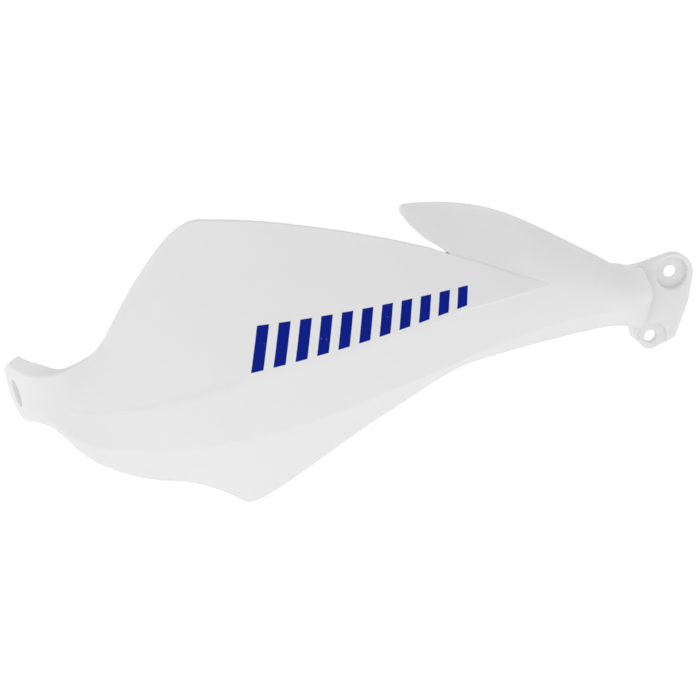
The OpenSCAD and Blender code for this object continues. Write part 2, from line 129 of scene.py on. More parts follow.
def plan(s):
    """Points of the plan curve and its outward directions at stations s: x, y, nx, ny."""
    s = np.asarray(s, float)

    def out(heading):
        return np.sin(heading), -np.cos(heading)

    turn = math.radians(BOW_TURN)
    nx, ny = out(-math.pi / 2 + (s - NECK_LEN) / NECK_R)
    bend = (OUTER_X + NECK_R + NECK_R * nx, -NECK_LEN + NECK_R * ny, nx, ny)
    n0x, n0y = out(-turn)
    start = (OUTER_X + NECK_R + NECK_R * n0x, -NECK_LEN + NECK_R * n0y)
    nx, ny = out(-turn + (s - BOW_FROM) / BOW_R)
    bow = (start[0] + BOW_R * (nx - n0x), start[1] + BOW_R * (ny - n0y), nx, ny)
    foremost = (start[0] - BOW_R * n0x, start[1] + BOW_R * (-1 - n0y))
    nx, ny = out((s - ARM_FROM) / ARM_R)
    arm = (foremost[0] + ARM_R * nx, foremost[1] + ARM_R * (ny + 1), nx, ny)
    plate = (np.full_like(s, OUTER_X), -s, np.full_like(s, -1.0), np.zeros_like(s))
    which = [s <= NECK_LEN, s <= BOW_FROM, s <= ARM_FROM]
    return [np.select(which, [plate[k], bend[k], bow[k]], arm[k]) for k in range(4)]


def at(s, z, back):
    """Points of the wall at stations s, heights z and setbacks back."""
    x, y, nx, ny = plan(s)
    return np.stack([x - nx * back, y - ny * back, z + 0 * x], -1)


class Rail:
    """A smooth line along the wall through [station, height, setback] points."""

    def __init__(self, points):
        self.p = np.array(points, float)
        step = np.diff(self.p[:, 0])[:, None]
        slope = np.diff(self.p, axis=0) / step
        inner = (slope[:-1] * step[1:] + slope[1:] * step[:-1]) / (step[:-1] + step[1:])
        self.m = np.concatenate([slope[:1], inner, slope[-1:]])

    def __call__(self, s):
        s = np.asarray(s, float)
        k = np.clip(np.searchsorted(self.p[:, 0], s, side="right") - 1, 0, len(self.p) - 2)
        a, b = self.p[k], self.p[k + 1]
        h = (b[..., 0] - a[..., 0])[..., None]
        t = np.clip((s - a[..., 0]) / h[..., 0], 0, 1)[..., None]
        v = a * (1 - t) ** 2 * (1 + 2 * t) + b * t * t * (3 - 2 * t)
        v = v + self.m[k] * h * t * (1 - t) ** 2 - self.m[k + 1] * h * t * t * (1 - t)
        return v[..., 1], v[..., 2]


# The rails: creases and edges of the wall, as [station, height, setback]

UPPER_EDGE = Rail([
    [-END_REACH, END_R - 2.5, 0], [0, END_R, 0], [13, mix(END_R, NECK_TOP, 0.5), 0],
    [27, NECK_TOP - 0.2, 0], [37, NECK_TOP, 0], [43, NECK_TOP + 0.8, 0.5],
    [48, NECK_TOP + 1.8, 1.5], [57, NECK_TOP + 4, 5], [63.5, NECK_TOP + 6.7, 7],
    [67.5, SHIELD_RISE - 46.5, 8.5],
    [74, SHIELD_RISE - 38.5, 10.5], [82, SHIELD_RISE - 29, 13],
    [98, SHIELD_RISE - 13, SHIELD_LEAN - 3.5], [110, SHIELD_RISE - 4, SHIELD_LEAN - 1],
    [PEAK_AT, SHIELD_RISE, SHIELD_LEAN], [133, SHIELD_RISE - 1.8, SHIELD_LEAN - 0.5],
    [148, SHIELD_RISE - 5.3, SHIELD_LEAN - 1.5], [186, SHIELD_RISE - 18.3, SHIELD_LEAN - 4.5],
    [212, mix(NOTCH_Z, SHIELD_RISE, 0.37), 13], [NOTCH_AT, NOTCH_Z, NOTCH_BACK],
])
STEP_EDGE = Rail([
    [NOTCH_AT, NOTCH_Z, NOTCH_BACK], [258, 20, 5.9], [270, 11.9, 4], [281, 4.5, 2],
    [VEE_AT, VEE_Z, 0],
])
UPPER_CREASE = Rail([
    [0, 4, 0], [20, 6.5, 0], [42, 5, 0], [48.5, 2, 0], [54, -0.5, 0], [68, -2.3, 0],
    [83, -3.3, 0], [98, -2.3, 0], [130, 0.6, 0], [180, 1.5, 0], [207, 1.8, 0],
    [NOTCH_AT, 1, 0], [260, -1.2, 0], [280, -3.2, 0], [VEE_AT, VEE_Z, 0], [310, -12, 0],
    [326, -21, 0], [345, -30, 0], [368, -38, 0],
])
LOWER_CREASE = Rail([
    [0, -4, 0], [20, -0.8, 0], [31, -0.2, -0.2], [37, -4, -0.5], [41, -7.7, -0.5],
    [46, -12.4, -0.4], [53, -17.4, 0.1], [61, -21.2, 1], [70.5, -23.7, 2.2],
    [80, -0.91 * CREASE_DROP, 3],
    [103, -CREASE_DROP - 0.4, 3.2], [151, -CREASE_DROP - 0.6, 3.3],
    [177, -CREASE_DROP + 1.2, 3.4], [204, -CREASE_DROP + 3.3, 3.5], [232, -24.5, 3.5],
    [250, -23.5, 3], [295, -26.5, 2.5], [317, -31, 2.5], [345, -40, 2.5], [368, -46, 3],
])
LOWER_EDGE = Rail([
    [0, -END_R, 0], [8, -END_R + 1.5, 0], [20, -7, 0], [31, -5.3, 0], [36.5, -7.2, 0.5],
    [41, -12, 1.5], [47, -21, 3], [53, -28.5, 5], [59, -34.2, 7.5],
    [69, -41, POINT_TUCK - 12.5], [80, -45.8, POINT_TUCK - 10.5], [94, -51, POINT_TUCK - 7.5],
    [105, -SHIELD_DROP + 13.5, POINT_TUCK - 4.5], [114, -SHIELD_DROP + 6, POINT_TUCK - 2],
    [118, -SHIELD_DROP + 2, POINT_TUCK - 0.5], [POINT_AT, -SHIELD_DROP, POINT_TUCK],
    [125.5, -SHIELD_DROP + 0.5, POINT_TUCK - 0.5], [131, -SHIELD_DROP + 2.5, POINT_TUCK - 1.5],
    [157, -SHIELD_DROP + 15, POINT_TUCK - 6.5], [186, -43.5, 12], [205, -37, 10],
    [231, -29.2, 7], [238, -28.2, 6.7], [250, -28.2, 6], [266, -30, 6],
    [295, -35, ARM_CROWN - 1.5], [317, -39.8, ARM_CROWN - 1], [345, -48.8, ARM_CROWN],
    [356, -55.3, ARM_CROWN], [368, -61, ARM_CROWN + 1],
])
FIN_UNDER = Rail([
    [TIP_AT, FIN_RISE - 2.2, FIN_LEAN - 1.2], [TIP_AT + 0.4, FIN_RISE - 4, FIN_LEAN - 2.5],
    [TIP_AT + 1.75, FIN_RISE - 7, FIN_LEAN - 4.5], [TIP_AT + 4, FIN_RISE - 10.5, FIN_LEAN - 6.7],
    [TIP_AT + 7.6, mix(NOTCH_Z, FIN_RISE, 0.35), mix(NOTCH_BACK + FIN_STEP, FIN_LEAN, 0.35)],
    [TIP_AT + 10.4, mix(NOTCH_Z, FIN_RISE, 0.22), mix(NOTCH_BACK + FIN_STEP, FIN_LEAN, 0.22)],
    [NOTCH_AT - 1, NOTCH_Z + 1.5, mix(NOTCH_BACK + FIN_STEP, FIN_LEAN, 0.07)],
    [NOTCH_AT, NOTCH_Z, NOTCH_BACK + FIN_STEP],
])
FIN_OVER = Rail([
    [TIP_AT, FIN_RISE - 2.2, FIN_LEAN - 1.2], [TIP_AT + 0.8, FIN_RISE - 0.8, FIN_LEAN - 0.5],
    [TIP_AT + 2.4, FIN_RISE - 0.5, FIN_LEAN], [TIP_AT + 6.6, FIN_RISE - 1.3, FIN_LEAN + 0.3],
    [243, FIN_RISE - 2.8, FIN_LEAN], [257, FIN_RISE - 6.6, FIN_LEAN - 2],
    [268, FIN_RISE - 10.4, FIN_LEAN - 5], [276, 38, 19], [287, 31.3, 16], [298.7, 22.5, 13],
    [309.5, 13.7, 11], [321, 4, 9], [331, -4.3, ARM_CROWN - 0.4], [339, -11.2, ARM_CROWN - 1.8],
    [347.5, -17.5, ARM_CROWN - 3.4], [356, -20.9, ARM_CROWN - 4.8], [368, -25, ARM_CROWN - 6],
])


def flare(s):
    """Extra height of the end and the neck's upper edge at the inner face."""
    return END_FLARE * mix(0.7, 1.0, ease(s, 0, 25)) * (1 - ease(s, 34, 50))


def lower_flare(s):
    """Extra height of the end's lower edge at the inner face."""
    return 0.65 * END_FLARE * (1 - ease(s, 5, 25))


def thick(s):
    """Thickness of the wall: thick at the bar end and where the arm roots in the flange."""
    body = mix(END_T, WALL, ease(s, 28, 62))
    return mix(body, FLANGE_T + 1.5, ease(s, THICK_FROM, THICK_TO))


def ledge(s):
    """How far the shield is proud of the bands along the upper crease."""
    near_arm = hump(s, NOTCH_AT - 23, NOTCH_AT + 17, NOTCH_AT + 27, VEE_AT)
    return ARM_LEDGE * near_arm - NECK_LEDGE * hump(s, 46, 62, 100, 132)


def fin_gap(s):
    """How far the fin lies behind the shield's edge."""
    return FIN_STEP * (1 - ease(s, FIN_FADE, VEE_AT))


# The flange's place: the lower screw's axis meets its face at this point

ARM_TIP = [float(v) for v in plan(ARM_END)[:2]]
FLANGE_AT = np.array([ARM_TIP[0] - 0.4, ARM_TIP[1] + 7.3, -64.9])
FLANGE_TURNED = Matrix.Rotation(math.radians(-FLANGE_TURN), 3, "Z") @ Matrix.Rotation(
    math.radians(90 - FLANGE_TILT), 3, "X")
FLANGE_OUT = np.array(FLANGE_TURNED.col[2])
FLANGE_PLACE = Matrix.Translation(Vector(FLANGE_AT)) @ FLANGE_TURNED.to_4x4()


def plane_back(s, z, depth):
    """Setback of the plane that lies depth behind the flange's face."""
    x, y, nx, ny = plan(s)
    out = FLANGE_OUT
    off = out[0] * (x - FLANGE_AT[0]) + out[1] * (y - FLANGE_AT[1]) + out[2] * (z - FLANGE_AT[2])
    along = out[0] * nx + out[1] * ny
    return (off + depth) / np.where(np.abs(along) < 0.2, 0.2, along)


def inner_back(s, z, back):
    """Setback of the inner face, which runs into the flange where the arm roots."""
    inside = plane_back(s, z, FLANGE_T) - 1
    behind = mix(back + thick(s), inside, ease(s, THICK_FROM, THICK_TO))
    return np.where(s <= ROOT_AT, back + thick(s), behind)


def corner(d, r):
    """Drop of a rounded corner of radius r, at distances d past its start."""
    return np.where(d > 0, r - np.sqrt(np.maximum(0, r * r - np.minimum(d, r) ** 2)), 0)


def end_drop(s):
    """Drop of the outer face at the bar end's rear edge and at the arm's end."""
    front = np.where(s > ARM_END, FLANGE_T + 1, corner(s - ARM_END + CORNER_R, CORNER_R))
    return np.where(s > 0, front, corner(END_ROUND - END_REACH - s, END_ROUND))


def round_end(s, z):
    """Share of the heights that is left past the bar-end axis: fuller above than below."""
    n = np.where(z > 0, 2.4, 2.0)
    past = np.clip(-s / END_REACH, 0, 1)
    return (1 - past ** n) ** (1 / n)


def end_shift(s, z):
    """Shift of the stations that curves the arm's end in the front view."""
    u = np.maximum(-1.2, (z - ARM_Z) / ARM_HALF)
    bend = np.where(u > 0, 2.4 + 2.2 * u, 3.2 + 1.5 * u)
    return (1.5 - bend * u) * ease(s, ROOT_AT, ARM_END)


def outer(s, z, back, raised, extra):
    """Points of the outer face."""
    s1 = s + end_shift(s, z)
    deepest = inner_back(s1, z, back + extra) - 0.6
    return at(s1, z * round_end(s, z), np.minimum(back - raised + end_drop(s), deepest))


def inner(s, z, back, extra, rise):
    """Points of the inner face."""
    grow = np.where(s < 0, 1 + 0.65 * END_FLARE / END_REACH, 1)
    s1 = s * grow + end_shift(s, z)
    return at(s1, (z + rise) * round_end(s, z), inner_back(s1, z, back + extra))


# Rows along the wall: heights, setbacks, how far they are raised, extra thickness and extra height


def lower_row(s, t):
    """From the lower edge at 0 over the lower crease at 1 to the upper crease at 2."""
    (za, ba), (zb, bb), (zc, bc) = LOWER_EDGE(s), LOWER_CREASE(s), UPPER_CREASE(s)
    none = 0 * s
    if t < 1:
        back = mix(bb, ba, (1 - t) ** 1.05)
        return mix(za, zb, t), back, none, none, -lower_flare(s) * (1 - t)
    # The upper crease fades out on the arm
    power = mix(1.1, 1.8, ease(s, NOTCH_AT - 20, VEE_AT))
    return mix(zb, zc, t - 1), mix(bc, bb, (2 - t) ** power), none, none, none


def shield_row(s, t):
    """From the upper crease at 0 to the shield's edge at 1."""
    (za, ba), e = UPPER_CREASE(s), ledge(s)
    before, after = UPPER_EDGE(s), STEP_EDGE(s)
    zb = np.where(s <= NOTCH_AT, before[0], after[0])
    bb = np.where(s <= NOTCH_AT, before[1], after[1])
    extra = np.where(s <= NOTCH_AT, FIN_STEP * ease(s, NOTCH_AT - 40, NOTCH_AT), fin_gap(s))
    foot = za + LEDGE_SLOPE * np.abs(e)
    soft = np.maximum(fin_gap(s) * ease(s, NOTCH_AT, NOTCH_AT + 5), 1e-6)
    drop = corner((t - 1) * (zb - foot) + soft, soft)
    return mix(foot, zb, t), mix(ba, bb, t ** 1.1), e * (1 - t) - drop, extra * t, flare(s) * t


def fin_row(s, t):
    """From the fin's lower edge at 0 to its upper edge, and the arm's, at 1."""
    under, step, crease = FIN_UNDER(s), STEP_EDGE(s), UPPER_CREASE(s)
    which = [s <= NOTCH_AT, s <= VEE_AT]
    za = np.select(which, [under[0], step[0]], crease[0])
    ba = np.select(which, [under[1], step[1] + fin_gap(s)], crease[1])
    zb, bb = FIN_OVER(s)
    thin = -0.4 * WALL * (1 - ease(s, TIP_AT, TIP_AT + 8))
    power = mix(1.1, 1.7, ease(s, FIN_FADE, FIN_FADE + 40))
    return mix(za, zb, t), mix(ba, bb, t ** power), 0 * s, thin, 0 * s


def row_points(row, columns, ts, side):
    """The outer or inner face's grid of points between two rails."""
    points = []
    for t in ts:
        z, back, raised, extra, rise = row(columns, t)
        if side == "outer":
            points.append(outer(columns, z, back, raised, extra))
        else:
            points.append(inner(columns, z, back, extra, rise))
    return np.array(points)


def stretch(a, b, n):
    """The first n of the n + 1 even steps from a to b."""
    return list(np.linspace(a, b, n, endpoint=False))


def rim(a, b, lifts, radius, last_at, steps):
    """Rows that round a free edge over, from the outer row a to the inner row b."""
    chord = np.linalg.norm((b - a)[:, :2], axis=1, keepdims=True)
    r = np.minimum(radius, chord / 2.2)
    rows = [a]
    angles = [math.pi / 2 * k / steps for k in range(1, steps + 1)]
    for side in (0, 1):
        for angle in (angles if side == 0 else angles[::-1]):
            share = r * (1 - math.cos(angle)) / np.maximum(chord, 1e-6)
            share = share if side == 0 else 1 - share
            lift = r[:, 0] * lifts * math.sin(angle)
            row = a + (b - a) * share
            row[:, 2] += lift
            if last_at is not None:
                row[-1] = last_at
            rows.append(row)
    rows.append(b)
    return np.array(rows)


class Patches:
    """Collects grids of points and joins them into one closed mesh."""

    def __init__(self):
        self.points, self.quads, self.count = [], [], 0

    def add(self, grid, forward=True):
        rows, columns = grid.shape[:2]
        k = self.count + np.arange(rows * columns).reshape(rows, columns)
        quad = np.stack([k[:-1, :-1], k[:-1, 1:], k[1:, 1:], k[1:, :-1]], -1).reshape(-1, 4)
        self.quads.append(quad[:, ::-1] if forward else quad)
        self.points.append(grid.reshape(-1, 3))
        self.count += rows * columns

    def mesh(self, name):
        points = np.round(np.concatenate(self.points), 4)
        unique, index = np.unique(points, axis=0, return_inverse=True)
        faces = []
        for quad in index.reshape(-1)[np.concatenate(self.quads)]:
            face = []
            for v in quad:
                if v not in face:
                    face.append(int(v))
            if len(face) > 2:
                faces.append(face)
        made = bpy.data.meshes.new(name)
        made.from_pydata((unique * MM).tolist(), [], faces)
        made.validate()
        return made


def wall_mesh(rim_radius):
    """The wall with its fin and arm, with rounded free edges."""
    columns = np.array(
        [-END_REACH * math.cos(math.pi / 2 * i / 24) for i in range(24)]
        + stretch(0, 20, 10) + stretch(20, 48, 34) + stretch(48, 74, 18) + stretch(74, 106, 18)
        + stretch(106, POINT_AT, 14) + stretch(POINT_AT, 134, 12) + stretch(134, 222, 44)
        + stretch(222, TIP_AT, 4) + stretch(TIP_AT, TIP_AT + 3, 12)
        + stretch(TIP_AT + 3, NOTCH_AT - 1, 11) + stretch(NOTCH_AT - 1, NOTCH_AT, 3)
        + stretch(NOTCH_AT, FIN_FADE, 14) + stretch(FIN_FADE, VEE_AT, 14)
        + stretch(VEE_AT, ROOT_AT, 22) + stretch(ROOT_AT, ARM_END - CORNER_R, 16)
        + [ARM_END - CORNER_R * math.cos(math.pi / 2 * i / 8) for i in range(9)]
        + [ARM_END + 0.3])
    tip, notch, vee = (int(np.argmin(np.abs(columns - v))) for v in (TIP_AT, NOTCH_AT, VEE_AT))
    lower_ts = [0, 0.04, 0.1, 0.2, 0.3, 0.4, 0.5, 0.6, 0.7, 0.8, 0.9, 0.96,
                1, 1.04, 1.1, 1.2, 1.3, 1.4, 1.5, 1.6, 1.7, 1.8, 1.9, 2]
    shield_ts = list(np.linspace(0, 0.95, 22))
    shield_ts += [0.965, 0.975, 0.98, 0.985, 0.99, 0.994, 0.997, 1]
    fin_ts = list(np.linspace(0, 1, 19))
    before_vee, from_tip = columns[:vee + 1], columns[tip:]
    low_out = row_points(lower_row, columns, lower_ts, "outer")
    low_in = row_points(lower_row, columns, lower_ts, "inner")
    top_out = row_points(shield_row, before_vee, shield_ts, "outer")
    top_in = row_points(shield_row, before_vee, shield_ts, "inner")
    fin_out = row_points(fin_row, from_tip, fin_ts, "outer")
    fin_in = row_points(fin_row, from_tip, fin_ts, "inner")
    cut = notch - tip
    patches = Patches()
    for grid in (low_out, top_out, fin_out):
        patches.add(grid)
    for grid in (low_in, top_in, fin_in):
        patches.add(grid, forward=False)
    patches.add(np.array([low_out[-1][:vee + 1], top_out[0]]))
    patches.add(np.array([low_in[-1][:vee + 1], top_in[0]]), forward=False)
    patches.add(np.array([top_out[-1][notch:], fin_out[0][cut:vee - tip + 1]]))
    patches.add(np.array([[a[-1], b[-1]] for a, b in zip(
        list(low_out) + list(fin_out[1:]), list(low_in) + list(fin_in[1:]))]))
    near = -END_REACH
    lifts = -hump(columns, near, near + 3, ARM_END - 6, ARM_END)
    patches.add(rim(low_out[0], low_in[0], lifts, rim_radius, low_in[0][-1], 5), forward=False)
    lifts = hump(columns[:notch + 1], near, near + 3, NOTCH_AT - 10, NOTCH_AT)
    patches.add(rim(top_out[-1][:notch + 1], top_in[-1][:notch + 1], lifts, rim_radius,
                    fin_out[0][cut], 5))
    lifts = -hump(columns[tip:notch + 1], TIP_AT, TIP_AT + 2, NOTCH_AT - 10, NOTCH_AT)
    patches.add(rim(fin_out[0][:cut + 1], fin_in[0][:cut + 1], lifts, rim_radius,
                    fin_out[0][cut], 5), forward=False)
    lifts = hump(from_tip, TIP_AT, TIP_AT + 2, ARM_END - 6, ARM_END)
    patches.add(rim(fin_out[-1], fin_in[-1], lifts, rim_radius, fin_in[-1][-1], 5))
    return patches.mesh("wall")


def arc(centre, radius, a0, a1, n):
    """Points of an arc from angle a0 to a1, in degrees."""
    angles = [math.radians(mix(a0, a1, i / n)) for i in range(n + 1)]
    return [(centre[0] + radius * math.cos(a), centre[1] + radius * math.sin(a)) for a in angles]


def flange_mesh(edge):
    """The flange's plate, with rounded edges, in its own frame: z is out of its face."""
    left = -13
    line = (arc((0, 0), LUG_R, 200, 285, 20) + arc((9.1, 1.3), 4.9, 290, 345, 14)
            + [(SCREW_DX + 6, SCREW_DZ * 0.46)]
            + arc((SCREW_DX + 0.7, SCREW_DZ - 0.3), BOSS_R, -18, 92, 36)
            + [(0, SCREW_DZ + BOSS_R - 2.1), (left, SCREW_DZ + BOSS_R - 1.6),
               (left, 11), (-10.2, 8), (-10, 2.3)])
    points = np.array(line)
    ahead, behind = np.roll(points, -1, axis=0) - points, points - np.roll(points, 1, axis=0)
    normals = []
    for a, b in zip(ahead, behind):
        d = a / np.linalg.norm(a) + b / np.linalg.norm(b)
        normals.append((d[1], -d[0]) / np.linalg.norm(d))
    normals = np.array(normals)
    steps = 4
    angles = [math.pi / 2 * k / steps for k in range(steps + 1)]
    levels = [(edge * (1 - math.sin(a)), -FLANGE_T + edge * (1 - math.cos(a))) for a in angles]
    levels += [(edge * (1 - math.cos(a)), -edge * (1 - math.sin(a))) for a in angles]
    mesh = bmesh.new()
    rings = [[mesh.verts.new(Vector((*(p - n * inset), z)) * MM) for p, n in zip(points, normals)]
             for inset, z in levels]
    for low, high in zip(rings, rings[1:]):
        for i in range(len(low)):
            j = (i + 1) % len(low)
            mesh.faces.new((low[i], low[j], high[j], high[i]))
    mesh.faces.new(rings[0][::-1])
    mesh.faces.new(rings[-1])
    bmesh.ops.triangulate(mesh, faces=[f for f in mesh.faces if len(f.verts) > 4])
    made = bpy.data.meshes.new("flange")
    mesh.to_mesh(made)
    mesh.free()
    return made


def turned_mesh(name, profile, segments=96):
    """A closed solid turned round z from [radius, z] points that run upwards."""
    mesh = bmesh.new()
    rings = []
    for r, z in profile:
        rings.append([mesh.verts.new(Vector((r * math.cos(a), r * math.sin(a), z)) * MM)
                      for a in (2 * math.pi * i / segments for i in range(segments))])
    for low, high in zip(rings, rings[1:]):
        for i in range(segments):
            j = (i + 1) % segments
            mesh.faces.new((low[i], low[j], high[j], high[i]))
    mesh.faces.new(rings[0][::-1])
    mesh.faces.new(rings[-1])
    made = bpy.data.meshes.new(name)
    mesh.to_mesh(made)
    mesh.free()
    return made


def recess_profile(hole_r, recess_r, depth, through, lip):
    """Profile of a cutter: a hole, a wider recess and a rounded lip at z = 0.

    The recess goes on out of the face, where it cuts the arm's end.
    """
    lips = [(recess_r + lip * (1 - math.cos(a)), -lip * (1 - math.sin(a)))
            for a in (math.pi / 2 * k / 5 for k in range(6))]
    inner_lip = 0.3
    return ([(hole_r, -through - 1), (hole_r, -depth - inner_lip), (hole_r + inner_lip, -depth),
             (recess_r - 0.4, -depth), (recess_r - 0.1, -depth + 0.1), (recess_r, -depth + 0.4)]
            + lips + [(recess_r + lip, ARM_OVER)])


def bore_profile(radius, depth, lip):
    """Profile of a cutter: a hole with a rounded lip at z = 0 and another depth below it."""
    turns = [math.pi / 2 * k / 5 for k in range(6)]
    near = [(radius + lip * (1 - math.cos(a)), -lip * (1 - math.sin(a))) for a in turns]
    far = [(r, -depth - z) for r, z in near[::-1]]
    past = 1.5
    return [(radius + lip, -depth - past)] + far + near + [(radius + lip, past)]


def placed(mesh, matrix=None):
    """An object that shows the mesh."""
    item = bpy.data.objects.new(mesh.name, mesh)
    bpy.context.collection.objects.link(item)
    if matrix is not None:
        item.matrix_world = matrix
    return item


def combine(target, tool, operation):
    """Applies one boolean to the target and deletes the tool."""
    cut = target.modifiers.new(operation.lower(), "BOOLEAN")
    cut.operation = operation
    cut.solver = "MANIFOLD"
    cut.object = tool
    bpy.context.view_layer.update()
    shape = bpy.data.meshes.new_from_object(
        target.evaluated_get(bpy.context.evaluated_depsgraph_get()))
    target.modifiers.clear()
    old = target.data
    target.data = shape
    bpy.data.meshes.remove(old)
    bpy.data.meshes.remove(tool.data)


def closed(mesh):
    """Whether every edge joins exactly two faces."""
    edges = np.zeros(len(mesh.edges), int)
    loops = np.zeros(len(mesh.loops), int)
    mesh.loops.foreach_get("edge_index", loops)
    np.add.at(edges, loops, 1)
    return bool((edges == 2).all())


def mark_edges(mesh, sharp, reach):
    """Stores how near each point is to a convex edge, from 0 to 1, as the attribute wear."""
    form = bmesh.new()
    form.from_mesh(mesh)
    value = np.zeros(len(form.verts))
    for edge in form.edges:
        bend = edge.calc_face_angle_signed(0.0) if len(edge.link_faces) == 2 else 0.0
        if bend > 0:
            length = max(edge.calc_length(), 1e-5)
            near = min(1.0, bend / sharp, bend * reach / length)
            for v in edge.verts:
                value[v.index] = max(value[v.index], near)
    form.free()
    layer = mesh.attributes.new("wear", "FLOAT", "POINT")
    layer.data.foreach_set("value", value.astype(np.float32))


class Socket:
    """A shader socket on which arithmetic adds Math nodes."""

    def __init__(self, shader, out):
        self.shader, self.out = shader, out

    def _math(self, operation, a, b=None, clamp=False):
        return self.shader.add("ShaderNodeMath", {"operation": operation, "use_clamp": clamp},
                               [a] if b is None else [a, b])

    def __add__(self, other):
        return self._math("ADD", self, other)

    __radd__ = __add__

    def __mul__(self, other):
        return self._math("MULTIPLY", self, other)

    __rmul__ = __mul__

    def __sub__(self, other):
        return self._math("SUBTRACT", self, other)

    def __rsub__(self, other):
        return self._math("SUBTRACT", other, self)

    def __mod__(self, other):
        return self._math("FLOORED_MODULO", self, other)

    def __abs__(self):
        return self._math("ABSOLUTE", self)

    def most(self, other):
        return self._math("MAXIMUM", self, other)

    def ramp(self, low, high):
        """0 below low and 1 above high."""
        return self._math("MULTIPLY", self - low, 1.0 / (high - low), clamp=True)


class Shader:
    """Builds the nodes of one material or world."""

    def __init__(self, owner):
        owner.use_nodes = True
        self.owner, self.tree = owner, owner.node_tree
        self.tree.nodes.clear()

    def add(self, kind, settings=None, inputs=None, output=0):
        """Adds one node, links or sets its inputs and gives one of its outputs."""
        node = self.tree.nodes.new(kind)
        for key, value in (settings or {}).items():
            setattr(node, key, value)
        pairs = inputs.items() if isinstance(inputs, dict) else enumerate(inputs or [])
        for key, value in pairs:
            if isinstance(value, Socket):
                self.tree.links.new(value.out, node.inputs[key])
            else:
                node.inputs[key].default_value = value
        return Socket(self, node.outputs[output]) if len(node.outputs) else node

    def blend(self, factor, a, b):
        """Mixes two colours."""
        return self.add("ShaderNodeMix", {"data_type": "RGBA"}, {0: factor, 6: a, 7: b}, 2)

    def parts(self, vector):
        """The x, y and z of a vector."""
        node = self.add("ShaderNodeSeparateXYZ", None, [vector]).out.node
        return [Socket(self, out) for out in node.outputs]

    def noise(self, place, scale, detail, roughness=0.5):
        """Soft noise of a scale given in features per metre."""
        return self.add("ShaderNodeTexNoise", None, {
            "Vector": place, "Scale": scale, "Detail": detail, "Roughness": roughness})


def graphic_mask(shader, place):
    """Generic graphic on the shield: a tapering row of plain slanted bars."""
    x, _, z = shader.parts(place)
    start, end, pitch, gap, lean = 0.088, 0.1976, 0.0104, 0.0046, 0.42
    foot, head, taper = 0.0040, 0.0255, 0.115
    soft = 0.00012
    along = x - z * lean
    top = head - (x - start) * taper
    in_height = (z - foot).ramp(-soft, soft) * (top - z).ramp(-soft, soft)
    beat = (along - start) % pitch
    bar = (pitch - gap) / 2
    in_bar = (bar - abs(beat - bar)).ramp(-soft, soft)
    in_row = (along - start).ramp(-soft, soft) * (end - along).ramp(-soft, soft)
    return in_height * in_bar * in_row


def plastic(settings):
    """White moulded plastic with a satin gloss, faint grain, rubbed edges and printed bars."""
    shader = Shader(bpy.data.materials.new("white_moulded_plastic"))
    place = shader.add("ShaderNodeTexCoord", output=3)
    normal = shader.add("ShaderNodeNewGeometry", output=1)
    wear = shader.add("ShaderNodeAttribute", {"attribute_name": "wear"}, output=2)
    broad = shader.noise(place, 14.0, 2.0)
    cloudy = shader.noise(place, 95.0, 4.0, 0.6)
    grain = shader.noise(place, 1500.0, 3.0, 0.6)
    pocks = shader.noise(place, 420.0, 2.0, 0.5)
    base = tuple(settings.plastic) + (1.0,)
    warm = tuple(c * k for c, k in zip(settings.plastic, (0.985, 0.985, 0.98))) + (1.0,)
    tone = broad.ramp(0.35, 0.65) * 0.5 + cloudy.ramp(0.3, 0.7) * 0.5
    colour = shader.blend(tone, base, warm)
    rubbed = wear * cloudy.ramp(0.38, 0.62)
    dull = tuple(c * 0.93 for c in settings.plastic) + (1.0,)
    colour = shader.blend(rubbed * settings.edge_wear, colour, dull)
    # The print is only on the side that faces forward
    facing = shader.parts(normal)[1]
    printed = graphic_mask(shader, place) * (-1.0 * facing).ramp(0.3, 0.4)
    printed = printed * (1.0 - pocks.ramp(0.70, 0.78) * 0.12)
    rough = settings.roughness + (cloudy - 0.5) * 0.10 + rubbed * 0.10 - printed * 0.06
    height = grain * 0.5 + pocks * 0.25 + cloudy * 0.6 + printed * 0.35
    bump = shader.add("ShaderNodeBump", None, {
        "Strength": 0.12, "Distance": 0.0002, "Height": height})
    ink = shader.add("ShaderNodeBsdfPrincipled", None, {
        "Base Color": tuple(settings.print_colour) + (1.0,), "Roughness": rough + 0.1,
        "Normal": bump, "Specular IOR Level": 0.06})
    body = shader.add("ShaderNodeBsdfPrincipled", None, {
        "Base Color": colour, "Roughness": rough, "Normal": bump, "IOR": 1.5,
        "Specular IOR Level": 0.5,
        "Subsurface Weight": settings.depth, "Subsurface Radius": (1.0, 1.0, 1.0),
        "Subsurface Scale": 0.002})
    shown = shader.add("ShaderNodeMixShader", None, [printed, body, ink])
    shader.add("ShaderNodeOutputMaterial", None, {"Surface": shown})
    return shader.owner


